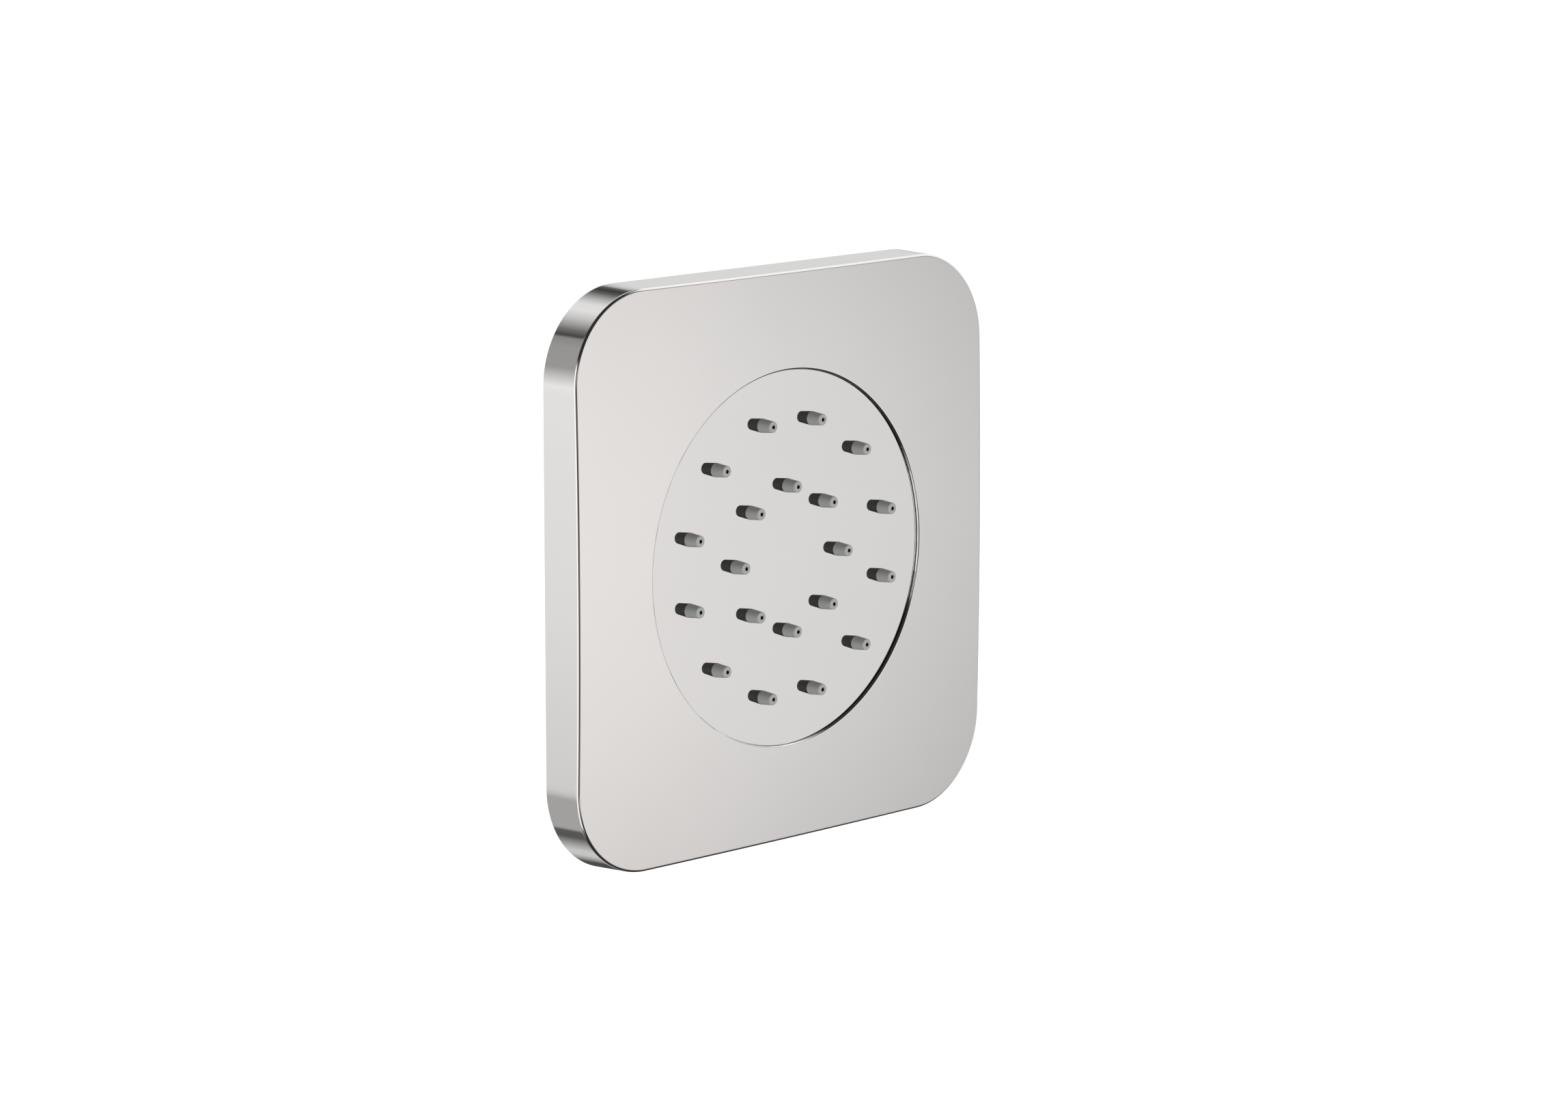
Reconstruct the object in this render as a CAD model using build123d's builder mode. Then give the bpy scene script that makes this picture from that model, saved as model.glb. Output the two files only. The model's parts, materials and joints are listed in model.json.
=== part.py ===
from build123d import *
import os
from math import acos, asin, cos, degrees, hypot, radians, sin, sqrt

# Shower body jet: a square chromed plate on the wall, with a round spray face that tilts on a ball.
# Millimetres. +Z is up, the jets leave towards -Y, and the wall plane is y = 0.
# A depth is a distance in front of the wall plane, so it is negative inside the wall.
# A polar angle is measured at the ball's centre, from 0 straight forward to 180 straight back.

# Cover plate
PLATE_SIZE = 143.0
PLATE_CORNER_R = 23.0
PLATE_CENTRE_T = 12.4
PLATE_DOME_R = 2080.0
PLATE_DRAFT_DEG = 2.3
PLATE_WALL = 2.2
PLATE_EDGE_R = 0.4
FRAME_W = 24.75
HOLE_EDGE_R = 0.5
STUD_R = 2.5
STUD_TIP_CHAMFER = 0.6

# Foam strip inside the plate's rim
COVER_SEAL_W = 3.5
COVER_SEAL_H = 3.0

# Swivel
TILT_DEG = 7.0
BALL_R = 11.0
BORE_R = 5.0
STEM_R = 7.0
HEX_SWING_GAP = 1.0
HEX_AF = 27.0
HEX_T = 4.0
STEM_THREAD_R = 10.4
STEM_THREAD_L = 8.0
STEM_SEAL_T = 1.5
PIN_R = 1.5
PIN_FLOOR = 2.5
PIN_REACH = 2.6
LINER_T = 1.95
LINER_SLIT = 1.2
LINER_PLAY_DEG = 1.0
POCKET_FRONT_DEG = 60.0
BALL_SEAL_POLAR_DEG = 45.0
BALL_SEAL_SECTION_R = 1.25
BALL_SEAL_WALL = 0.8

# Spray face and nozzles
FACE_RECESS = 0.8
FACE_T = 1.2
FACE_EDGE_R = 0.3
SKIRT_WALL = 2.0
SKIRT_REAR_WALL = 1.8
SKIRT_COVER_DEG = 2.0
NOZZLE_H = 3.87
NOZZLE_BASE_R = 1.77
NOZZLE_TIP_R = 1.4
NOZZLE_TIP_ROUND = 0.3
NOZZLE_BORE_R = 0.44
NOZZLE_FEED_R = 1.0
NOZZLE_LAND = 1.5
OUTER_RING_INSET = 11.78
OUTER_PAIRS = 4
OUTER_PAIR_DEG = 14.43
RING_STEP = 16.85
INNER_COUNT = 8
MAT_T = 1.5
MAT_BEAD_W = 2.0

# Water chamber
CHAMBER_H = 3.0
BACK_T = 2.5
WATER_R = 6.0
HUB_WALL = 3.0
HUB_RIM = 0.5
RIB_COUNT = 6
RIB_T = 1.6
RIB_H = 6.0
BOSS_R = 2.2
SCREW_COUNT = 6
SCREW_R = 1.25
SCREW_TIP_GAP = 1.0
SCREW_HEAD_INSET = 0.2
SCREW_HEAD_H = 1.5
SCREW_SOCKET_AF = 1.5
SCREW_SOCKET_DEPTH = 0.8
FLOW_DISC_OVERLAP = 6.0
FLOW_DISC_T = 1.0
FLOW_LEG_R = 1.2
FLOW_LEG_COUNT = 3

# Retainer nut
NUT_LAND = 0.4
NUT_T = 7.8
NUT_NOTCH_W = 3.0
NUT_NOTCH_DEPTH = 2.0
NUT_NOTCH_COUNT = 4

# Housing in the wall
CUP_WALL = 2.5
CUP_TAIL = 6.0
CUP_BACK_R = 29.0
CUP_FLOOR_T = 2.5
FLANGE_T = 2.5
FLANGE_GASKET_T = 1.0
WALL_HOLE_R = 2.4
WALL_HOLE_COUNT = 4
STUD_INSET = 15.5
BUSH_WALL = 1.7
BUSH_COLLAR_W = 1.2
BUSH_COLLAR_T = 1.2

# Inlet
COLLAR_W = 4.0
COLLAR_T = 3.0
CONNECTOR_GASKET_T = 1.5
CONNECTOR_WALL = 4.55
CONNECTOR_CHAMFER = 0.8
LOCK_WASHER_W = 7.0
LOCK_WASHER_T = 1.2
LOCK_NUT_WALL = 5.5
LOCK_NUT_T = 6.0
REGULATOR_T = 2.5
REGULATOR_WEB = 1.0
REGULATOR_PIN_R = 2.4
REGULATOR_CHANNEL_R = 5.6
REGULATOR_PORT_R = 0.7
REGULATOR_PORT_COUNT = 8
SHOULDER_T = 1.5
FILTER_T = 1.5
FILTER_STEP = 1.12
FILTER_SCREEN_T = 0.6
FILTER_HOLE_R = 0.45
FILTER_HOLE_PITCH = 1.5
INLET_R = 9.32
INLET_DEPTH = 12.0

# Clearances
FACE_GAP = 0.3
BALL_FIT = 0.06
PIN_FIT = 0.08
STATIC_FIT = 0.05
BALL_RELIEF = 0.5
SWING_GAP = 0.8
SLOT_GAP = 0.4
CUP_GAP = 1.2
FLANGE_GAP = 1.8

# Swing of the head when both tilts are at their limits
full_tilt = degrees(acos(cos(radians(TILT_DEG)) ** 2))


def plate_front(radius):
    """Depth of the plate's domed front at a distance from the axis."""
    return PLATE_CENTRE_T - (PLATE_DOME_R - sqrt(PLATE_DOME_R**2 - radius**2))


# Ball seal: its groove starts a wall's thickness behind the chamber's back, and the ball lies behind it
seal_reach = BALL_R + BALL_FIT + BALL_SEAL_SECTION_R
groove_half = BALL_SEAL_SECTION_R + STATIC_FIT
groove_ahead = seal_reach * cos(radians(BALL_SEAL_POLAR_DEG))
ball_behind_face = FACE_T + MAT_T + CHAMBER_H + BACK_T + BALL_SEAL_WALL + groove_half + groove_ahead

# Depths and spheres of the head, which fills the hole inside the plate's frame
hole_r = PLATE_SIZE / 2 - FRAME_W
lip_depth = plate_front(hole_r)
face_depth = lip_depth - FACE_RECESS
ball_depth = face_depth - ball_behind_face
lip_r = hypot(hole_r, lip_depth - ball_depth)
skirt_r = lip_r - FACE_GAP
face_r = sqrt(skirt_r**2 - ball_behind_face**2)
face_polar = degrees(acos(ball_behind_face / skirt_r))
skirt_polar = face_polar + full_tilt + SKIRT_COVER_DEG
mat_front = face_depth - FACE_T
mat_back = mat_front - MAT_T
chamber_back_front = mat_back - CHAMBER_H
chamber_back_rear = chamber_back_front - BACK_T
tip_depth = face_depth + NOZZLE_H

# Radii of the head
cup_in_r = face_r - SKIRT_WALL
boss_ring = cup_in_r - BOSS_R + STATIC_FIT
mat_r = boss_ring - BOSS_R - STATIC_FIT
liner_in_r = BALL_R + BALL_FIT
liner_out_r = liner_in_r + LINER_T
pocket_r = liner_out_r + BALL_FIT
outer_ring_r = face_r - OUTER_RING_INSET
inner_ring_r = outer_ring_r - RING_STEP
screw_head_r = BOSS_R - SCREW_HEAD_INSET
screw_grip = MAT_T + CHAMBER_H - SCREW_TIP_GAP

# Guide pins and their slots: a pin swings by one tilt in the plane of its slot
pin_root_x = BORE_R + PIN_FLOOR
pin_tip_x = pocket_r + PIN_REACH
pin_swing = pin_tip_x * sin(radians(TILT_DEG)) + PIN_R
slot_front = ball_depth + pin_swing + SLOT_GAP
slot_reach_x = pin_tip_x + SLOT_GAP
slot_w = 2 * (PIN_R + PIN_FIT)
nut_thread_r = slot_reach_x + NUT_LAND
hub_r = nut_thread_r + HUB_WALL

# Retainer nut: it starts behind the slots and opens wide enough for the stem at full tilt
nut_front = ball_depth - pin_swing - SWING_GAP
nut_rear = nut_front - NUT_T
hub_rear = nut_rear - HUB_RIM
tilt_sin = sin(radians(full_tilt))
tilt_cos = cos(radians(full_tilt))
nut_open_r = (STEM_R + SWING_GAP + (ball_depth - nut_rear) * tilt_sin) / tilt_cos
hub_sweep = (ball_depth - hub_rear) * tilt_cos + hub_r * tilt_sin
seat_start_polar = degrees(acos((nut_front - ball_depth) / pocket_r))
seat_end_polar = 180 - degrees(asin(nut_open_r / pocket_r))
liner_front_polar = POCKET_FRONT_DEG + TILT_DEG + LINER_PLAY_DEG
liner_rear_polar = seat_end_polar - TILT_DEG - LINER_PLAY_DEG

# Depths from the ball back to the inlet
hex_front = ball_depth - hub_sweep - HEX_SWING_GAP
hex_back = hex_front - HEX_T
stem_end = hex_back - STEM_SEAL_T - STEM_THREAD_L
connector_front = hex_back - STEM_SEAL_T
collar_back = connector_front - COLLAR_T
cup_floor = collar_back - CONNECTOR_GASKET_T
cup_back = cup_floor - CUP_FLOOR_T
washer_back = cup_back - LOCK_WASHER_T
regulator_back = stem_end - REGULATOR_T
shoulder_back = regulator_back - SHOULDER_T
filter_back = shoulder_back - FILTER_T
connector_back = filter_back - INLET_DEPTH

# Radii of the inlet
connector_in_r = STEM_THREAD_R + STATIC_FIT
connector_r = connector_in_r + CONNECTOR_WALL
connector_hole_r = connector_r + STATIC_FIT
collar_r = connector_r + COLLAR_W
lock_washer_r = connector_r + LOCK_WASHER_W
filter_r = INLET_R - FILTER_STEP

# Housing
cup_r = skirt_r + CUP_GAP
cup_straight_depth = ball_depth - CUP_TAIL
cup_out_r = cup_r + CUP_WALL
flange_back = FLANGE_GASKET_T
flange_front = flange_back + FLANGE_T
flange_inset = PLATE_WALL + COVER_SEAL_W + FLANGE_GAP
flange_size = PLATE_SIZE - 2 * flange_inset
flange_corner_r = PLATE_CORNER_R - flange_inset
stud_spacing = flange_size - 2 * STUD_INSET
wall_hole_ring = (cup_out_r + flange_size / 2) / 2
bush_r = STUD_R + STATIC_FIT + BUSH_WALL

# Sketch plane of turned pieces: sketch x is the radius, sketch y the depth
RADIAL = Plane(origin=(0, 0, 0), x_dir=(1, 0, 0), z_dir=(0, 0, -1))
JET_AXIS = Axis((0, 0, 0), (0, -1, 0))
BALL_CENTRE = (0, -ball_depth, 0)


def facing(depth):
    """Plane across the axis at a depth, with its normal towards the front, x along +X and y along +Z."""
    return Plane(origin=(0, -depth, 0), x_dir=(1, 0, 0), z_dir=(0, -1, 0))


def sideways(side, x):
    """Plane across the X axis at the ball's depth, with its normal towards +X or -X."""
    return Plane(origin=(side * x, -ball_depth, 0), z_dir=(side, 0, 0))


def on_sphere(radius, polar_deg):
    """Radius and depth of the point at a polar angle on a sphere about the ball's centre."""
    polar = radians(polar_deg)
    return radius * sin(polar), ball_depth + radius * cos(polar)


def arc_on_sphere(radius, start_deg, end_deg):
    """Arc in the radial sketch, from one polar angle to another, on a sphere about the ball's centre."""
    middle = (start_deg + end_deg) / 2
    return ThreePointArc(
        on_sphere(radius, start_deg), on_sphere(radius, middle), on_sphere(radius, end_deg)
    )


def turn(points, mode=Mode.ADD):
    """Turned body whose section is the polygon through the (radius, depth) points."""
    with BuildSketch(RADIAL) as section:
        with BuildLine():
            Polyline(*points, close=True)
        make_face()
    revolve(section.sketch, axis=JET_AXIS, mode=mode)


def ring(inner_r, outer_r, front, back, mode=Mode.ADD):
    """Flat ring or disc between two radii and two depths."""
    turn([(inner_r, front), (outer_r, front), (outer_r, back), (inner_r, back)], mode)


def rounded_square(size, corner_r, back, height, taper=0.0, mode=Mode.ADD):
    """Square block with rounded corners that stands forward from a depth."""
    with BuildSketch(facing(back)) as outline:
        RectangleRounded(size, size, corner_r)
    extrude(outline.sketch, amount=height, taper=taper, mode=mode)


def drill(spots, radius, front, back, mode=Mode.SUBTRACT):
    """Round holes, or pegs, along the axis between two depths, at each (x, z) spot."""
    with BuildSketch(facing(back)) as holes:
        with Locations(*spots):
            Circle(radius)
    extrude(holes.sketch, amount=front - back, mode=mode)


def under_dome(lowered, mode):
    """Space behind the plate's dome, or behind the same dome lowered towards the wall."""
    reach = PLATE_SIZE
    with BuildSketch(RADIAL) as section:
        with BuildLine():
            Polyline(
                (0, PLATE_CENTRE_T - lowered),
                (0, -PLATE_WALL),
                (reach, -PLATE_WALL),
                (reach, plate_front(reach) - lowered),
            )
            ThreePointArc(
                (reach, plate_front(reach) - lowered),
                (reach / 2, plate_front(reach / 2) - lowered),
                (0, PLATE_CENTRE_T - lowered),
            )
        make_face()
    revolve(section.sketch, axis=JET_AXIS, mode=mode)


def circle_of_spots(count, radius, start_deg=0.0):
    """Evenly spaced (x, z) spots on a circle."""
    angles = [radians(start_deg + 360 * k / count) for k in range(count)]
    return [(radius * cos(a), radius * sin(a)) for a in angles]


def nozzle_spots():
    """Outer ring of four pairs with a single nozzle between each two, and an evenly spaced inner ring."""
    spots = circle_of_spots(INNER_COUNT, inner_ring_r)
    for offset in (-OUTER_PAIR_DEG, OUTER_PAIR_DEG, 180 / OUTER_PAIRS):
        spots += circle_of_spots(OUTER_PAIRS, outer_ring_r, offset)
    return spots


def corner_spots(spacing):
    """The four corners of a square about the axis."""
    half = spacing / 2
    return [(x, z) for x in (-half, half) for z in (-half, half)]


def finish(builder, name):
    """Label the piece and write its file."""
    builder.part.label = name
    export_step(builder.part, f"parts/{name}.step")


os.makedirs("parts", exist_ok=True)
NOZZLES = nozzle_spots()
WALL_HOLES = circle_of_spots(WALL_HOLE_COUNT, wall_hole_ring)
STUDS = corner_spots(stud_spacing)
SCREWS = circle_of_spots(SCREW_COUNT, boss_ring, 180 / SCREW_COUNT)

# Cover plate: drafted shell with a domed front, a ball-shaped hole edge and four push studs
cavity_size = PLATE_SIZE - 2 * PLATE_WALL
cavity_corner_r = PLATE_CORNER_R - PLATE_WALL
with BuildPart() as plate_cavity:
    rounded_square(cavity_size, cavity_corner_r, 0, PLATE_CENTRE_T, PLATE_DRAFT_DEG)
    under_dome(PLATE_WALL, Mode.INTERSECT)

stud_ring = hypot(stud_spacing / 2, stud_spacing / 2)
stud_root = plate_front(stud_ring) - PLATE_WALL / 2
with BuildPart() as cover_plate:
    rounded_square(PLATE_SIZE, PLATE_CORNER_R, 0, PLATE_CENTRE_T, PLATE_DRAFT_DEG)
    under_dome(0, Mode.INTERSECT)
    fillet(cover_plate.faces().sort_by(Axis.Y)[0].edges(), radius=PLATE_EDGE_R)
    add(plate_cavity.part, mode=Mode.SUBTRACT)
    with Locations(BALL_CENTRE):
        Sphere(lip_r, mode=Mode.SUBTRACT)
    fillet(cover_plate.edges().filter_by(GeomType.CIRCLE).sort_by(Axis.Y)[0], radius=HOLE_EDGE_R)
    drill(STUDS, STUD_R, stud_root, flange_back, Mode.ADD)
    stud_tips = cover_plate.faces().filter_by(GeomType.PLANE).group_by(Face.area)[0]
    chamfer(stud_tips.edges(), length=STUD_TIP_CHAMFER)
finish(cover_plate, "cover_plate")

# Foam strip around the inside of the plate's rim
strip_inset = PLATE_WALL + STATIC_FIT
with BuildPart() as cover_seal:
    rounded_square(
        PLATE_SIZE - 2 * strip_inset, PLATE_CORNER_R - strip_inset, 0, COVER_SEAL_H, PLATE_DRAFT_DEG
    )
    strip_inset += COVER_SEAL_W
    rounded_square(
        PLATE_SIZE - 2 * strip_inset, PLATE_CORNER_R - strip_inset, 0, COVER_SEAL_H, mode=Mode.SUBTRACT
    )
finish(cover_seal, "cover_seal")

# Housing: cup in the wall with a square flange
with BuildPart() as wall_housing:
    rounded_square(flange_size, flange_corner_r, flange_back, FLANGE_T)
    ring(0, cup_r, flange_front, flange_back, Mode.SUBTRACT)
    turn(
        [
            (cup_r, flange_front),
            (cup_out_r, flange_front),
            (cup_out_r, cup_straight_depth),
            (CUP_BACK_R + CUP_WALL, cup_back),
            (connector_hole_r, cup_back),
            (connector_hole_r, cup_floor),
            (CUP_BACK_R, cup_floor),
            (cup_r, cup_straight_depth),
        ]
    )
    drill(WALL_HOLES, WALL_HOLE_R, flange_front, flange_back)
    drill(STUDS, bush_r + STATIC_FIT, flange_front, flange_back)
finish(wall_housing, "wall_housing")

# Gasket between flange and wall
with BuildPart() as flange_gasket:
    rounded_square(flange_size, flange_corner_r, 0, FLANGE_GASKET_T)
    ring(0, cup_out_r + FACE_GAP, FLANGE_GASKET_T, 0, Mode.SUBTRACT)
    drill(WALL_HOLES, WALL_HOLE_R, FLANGE_GASKET_T, 0)
finish(flange_gasket, "flange_gasket")

# Bushes in the flange that grip the plate's studs
bush_collar_front = flange_front + BUSH_COLLAR_T
with BuildPart() as snap_bushes:
    drill(STUDS, bush_r, flange_front, flange_back, Mode.ADD)
    drill(STUDS, bush_r + BUSH_COLLAR_W, bush_collar_front, flange_front, Mode.ADD)
    drill(STUDS, STUD_R + STATIC_FIT, bush_collar_front, flange_back)
finish(snap_bushes, "snap_bushes")

# Inlet connector through the cup's floor
with BuildPart() as inlet_connector:
    turn(
        [
            (connector_in_r, connector_front),
            (collar_r, connector_front),
            (collar_r, collar_back),
            (connector_r, collar_back),
            (connector_r, connector_back + CONNECTOR_CHAMFER),
            (connector_r - CONNECTOR_CHAMFER, connector_back),
            (INLET_R, connector_back),
            (INLET_R, filter_back),
            (filter_r, filter_back),
            (filter_r, shoulder_back),
            (WATER_R, shoulder_back),
            (WATER_R, regulator_back),
            (connector_in_r, regulator_back),
        ]
    )
finish(inlet_connector, "inlet_connector")

with BuildPart() as connector_gasket:
    ring(connector_hole_r, collar_r, collar_back, cup_floor)
finish(connector_gasket, "connector_gasket")

with BuildPart() as lock_washer:
    ring(connector_hole_r, lock_washer_r, cup_back, washer_back)
finish(lock_washer, "lock_washer")

lock_nut_back = washer_back - LOCK_NUT_T
with BuildPart() as lock_nut:
    with BuildSketch(facing(lock_nut_back)):
        RegularPolygon(radius=connector_r + LOCK_NUT_WALL, side_count=6, major_radius=False)
        Circle(connector_hole_r, mode=Mode.SUBTRACT)
    extrude(amount=LOCK_NUT_T)
finish(lock_nut, "lock_nut")

# Filter in the inlet: a perforated disc held in a rubber ring
screen_front = shoulder_back - (FILTER_T - FILTER_SCREEN_T) / 2
screen_back = screen_front - FILTER_SCREEN_T
screen_rows = int(WATER_R / FILTER_HOLE_PITCH)
SCREEN_HOLES = [
    (i * FILTER_HOLE_PITCH, k * FILTER_HOLE_PITCH)
    for i in range(-screen_rows, screen_rows + 1)
    for k in range(-screen_rows, screen_rows + 1)
    if hypot(i, k) * FILTER_HOLE_PITCH + 2 * FILTER_HOLE_R < WATER_R
]
with BuildPart() as filter_screen:
    ring(0, WATER_R, screen_front, screen_back)
    drill(SCREEN_HOLES, FILTER_HOLE_R, screen_front, screen_back)
finish(filter_screen, "filter_screen")

with BuildPart() as filter_seal:
    ring(WATER_R, filter_r - STATIC_FIT, shoulder_back, filter_back)
finish(filter_seal, "filter_seal")

# Flow regulator: a moulded disc with a channel for a soft ring
channel_floor = stem_end - REGULATOR_WEB
channel_ring = (REGULATOR_PIN_R + REGULATOR_CHANNEL_R) / 2
with BuildPart() as flow_regulator:
    ring(0, STEM_THREAD_R, stem_end, regulator_back)
    ring(REGULATOR_PIN_R, REGULATOR_CHANNEL_R, channel_floor, regulator_back, Mode.SUBTRACT)
    drill(
        circle_of_spots(REGULATOR_PORT_COUNT, channel_ring), REGULATOR_PORT_R, stem_end, channel_floor
    )
finish(flow_regulator, "flow_regulator")

soft_ring_r = (REGULATOR_T - REGULATOR_WEB) / 2 - STATIC_FIT
with BuildPart() as regulator_ring:
    with BuildSketch(RADIAL):
        with Locations((channel_ring, channel_floor - soft_ring_r)):
            Circle(soft_ring_r)
    revolve(axis=JET_AXIS)
finish(regulator_ring, "regulator_ring")

# Stem: ball, neck, hexagon and threaded end, bored through
ball_front_polar = degrees(asin(BORE_R / BALL_R))
ball_neck_polar = 180 - degrees(asin(STEM_R / BALL_R))
with BuildPart() as swivel_stem:
    with BuildSketch(RADIAL):
        with BuildLine():
            arc_on_sphere(BALL_R, ball_front_polar, ball_neck_polar)
            Polyline(
                on_sphere(BALL_R, ball_neck_polar),
                (STEM_R, hex_back),
                (STEM_THREAD_R, hex_back),
                (STEM_THREAD_R, stem_end),
                (0, stem_end),
                (0, on_sphere(BALL_R, ball_front_polar)[1]),
                on_sphere(BALL_R, ball_front_polar),
            )
        make_face()
    revolve(axis=JET_AXIS)
    with BuildSketch(facing(hex_back)):
        RegularPolygon(radius=HEX_AF / 2, side_count=6, major_radius=False)
    extrude(amount=HEX_T)
    ring(0, BORE_R, face_depth, stem_end, Mode.SUBTRACT)
    for side in (-1, 1):
        with BuildSketch(sideways(side, pin_root_x)):
            Circle(PIN_R + STATIC_FIT)
        extrude(amount=BALL_R, mode=Mode.SUBTRACT)
finish(swivel_stem, "swivel_stem")

with BuildPart() as stem_seal:
    ring(connector_in_r, HEX_AF / 2, hex_back, connector_front)
finish(stem_seal, "stem_seal")

# Pins in the ball that guide the head and keep it from spinning
with BuildPart() as guide_pins:
    for side in (-1, 1):
        with BuildSketch(sideways(side, pin_root_x)):
            Circle(PIN_R)
        extrude(amount=pin_tip_x - pin_root_x)
finish(guide_pins, "guide_pins")

# Liner between ball and socket: a split band with a hole for each pin
with BuildPart() as ball_liner:
    with BuildSketch(RADIAL):
        with BuildLine():
            arc_on_sphere(liner_in_r, liner_front_polar, liner_rear_polar)
            Line(on_sphere(liner_in_r, liner_rear_polar), on_sphere(liner_out_r, liner_rear_polar))
            arc_on_sphere(liner_out_r, liner_rear_polar, liner_front_polar)
            Line(on_sphere(liner_out_r, liner_front_polar), on_sphere(liner_in_r, liner_front_polar))
        make_face()
    revolve(axis=JET_AXIS)
    for side in (-1, 1):
        with BuildSketch(sideways(side, 0)):
            Circle(PIN_R + PIN_FIT)
        extrude(amount=pocket_r, mode=Mode.SUBTRACT)
    with BuildSketch(Plane(origin=BALL_CENTRE, x_dir=(1, 0, 0), z_dir=(0, 0, -1))):
        Rectangle(LINER_SLIT, 2 * pocket_r)
    extrude(amount=pocket_r, mode=Mode.SUBTRACT)
finish(ball_liner, "ball_liner")

# Spray face: flat front, ball-shaped skirt, bosses for the chamber's screws
skirt_end_r, skirt_end_depth = on_sphere(skirt_r, skirt_polar)
with BuildPart() as spray_face:
    with BuildSketch(RADIAL):
        with BuildLine():
            Line((0, face_depth), (face_r, face_depth))
            arc_on_sphere(skirt_r, face_polar, skirt_polar)
            Polyline(
                (skirt_end_r, skirt_end_depth),
                (skirt_end_r - SKIRT_REAR_WALL, skirt_end_depth),
                (cup_in_r, chamber_back_rear),
                (cup_in_r, mat_front),
                (0, mat_front),
                (0, face_depth),
            )
        make_face()
    revolve(axis=JET_AXIS)
    fillet(spray_face.edges().filter_by(GeomType.CIRCLE).sort_by(Axis.Y)[0], radius=FACE_EDGE_R)
    drill(SCREWS, BOSS_R, mat_front, chamber_back_front, Mode.ADD)
    drill(SCREWS, SCREW_R + STATIC_FIT, chamber_back_front + screw_grip + STATIC_FIT, chamber_back_front)
    drill(NOZZLES, NOZZLE_BASE_R + STATIC_FIT, face_depth, mat_front)
finish(spray_face, "spray_face")

# Nozzle mat: a silicone sheet with a sealing bead behind and every nozzle in front
nozzle_taper = degrees(asin((NOZZLE_BASE_R - NOZZLE_TIP_R) / hypot(NOZZLE_H, NOZZLE_BASE_R - NOZZLE_TIP_R)))
with BuildPart() as nozzle_mat:
    ring(0, mat_r, mat_front, mat_back)
    ring(mat_r - MAT_BEAD_W, mat_r, mat_back, chamber_back_front)
    drill(NOZZLES, NOZZLE_BASE_R, face_depth, mat_front, Mode.ADD)
    with BuildSketch(facing(face_depth)):
        with Locations(*NOZZLES):
            Circle(NOZZLE_BASE_R)
    extrude(amount=NOZZLE_H, taper=nozzle_taper)
    fillet(nozzle_mat.edges().group_by(Axis.Y)[0], radius=NOZZLE_TIP_ROUND)
    drill(NOZZLES, NOZZLE_BORE_R, tip_depth, mat_back)
    drill(NOZZLES, NOZZLE_FEED_R, tip_depth - NOZZLE_LAND, mat_back)
finish(nozzle_mat, "nozzle_mat")

# Baffle on legs in front of the water inlet
flow_disc_r = WATER_R + FLOW_DISC_OVERLAP
leg_ring = WATER_R + FLOW_DISC_OVERLAP / 2
flow_leg_top = chamber_back_front + (CHAMBER_H - FLOW_DISC_T) / 2
with BuildPart() as flow_disc:
    ring(0, flow_disc_r, flow_leg_top + FLOW_DISC_T, flow_leg_top)
    drill(
        circle_of_spots(FLOW_LEG_COUNT, leg_ring, 90), FLOW_LEG_R, flow_leg_top, chamber_back_front, Mode.ADD
    )
finish(flow_disc, "flow_disc")

# Chamber back: ribbed plate with the hub that holds ball, seal, liner and nut
back_r = cup_in_r - STATIC_FIT
pocket_front_r, pocket_front_depth = on_sphere(pocket_r, POCKET_FRONT_DEG)
groove_r, groove_depth = on_sphere(seal_reach, BALL_SEAL_POLAR_DEG)
with BuildPart() as chamber_back:
    turn(
        [
            (0, chamber_back_front),
            (back_r, chamber_back_front),
            (back_r, chamber_back_rear),
            (hub_r, chamber_back_rear),
            (hub_r, hub_rear),
            (0, hub_rear),
        ]
    )
    for rib in range(RIB_COUNT):
        rib_turn = Rotation(0, 360 * rib / RIB_COUNT, 0)
        with BuildSketch(Plane(rib_turn * RADIAL.location)):
            with BuildLine():
                Polyline(
                    (hub_r - HUB_WALL / 2, chamber_back_rear),
                    (boss_ring - screw_head_r, chamber_back_rear),
                    (hub_r - HUB_WALL / 2, chamber_back_rear - RIB_H),
                    close=True,
                )
            make_face()
        extrude(amount=RIB_T / 2, both=True)
    ring(0, WATER_R, chamber_back_front, ball_depth, Mode.SUBTRACT)
    with Locations(BALL_CENTRE):
        Sphere(BALL_R + BALL_RELIEF, mode=Mode.SUBTRACT)
    with BuildSketch(RADIAL):
        with BuildLine():
            Polyline((0, pocket_front_depth), (pocket_front_r, pocket_front_depth))
            arc_on_sphere(pocket_r, POCKET_FRONT_DEG, 90)
            Polyline(
                (pocket_r, ball_depth), (pocket_r, nut_front), (0, nut_front), (0, pocket_front_depth)
            )
        make_face()
    revolve(axis=JET_AXIS, mode=Mode.SUBTRACT)
    ring(0, nut_thread_r, nut_front, hub_rear, Mode.SUBTRACT)
    ring(
        groove_r - groove_half,
        groove_r + groove_half,
        groove_depth + groove_half,
        groove_depth - groove_half,
        Mode.SUBTRACT,
    )
    with BuildSketch(facing(hub_rear)):
        Rectangle(2 * slot_reach_x, slot_w)
    extrude(amount=slot_front - hub_rear, mode=Mode.SUBTRACT)
    drill(SCREWS, SCREW_R + STATIC_FIT, chamber_back_front, chamber_back_rear)
finish(chamber_back, "chamber_back")

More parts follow.
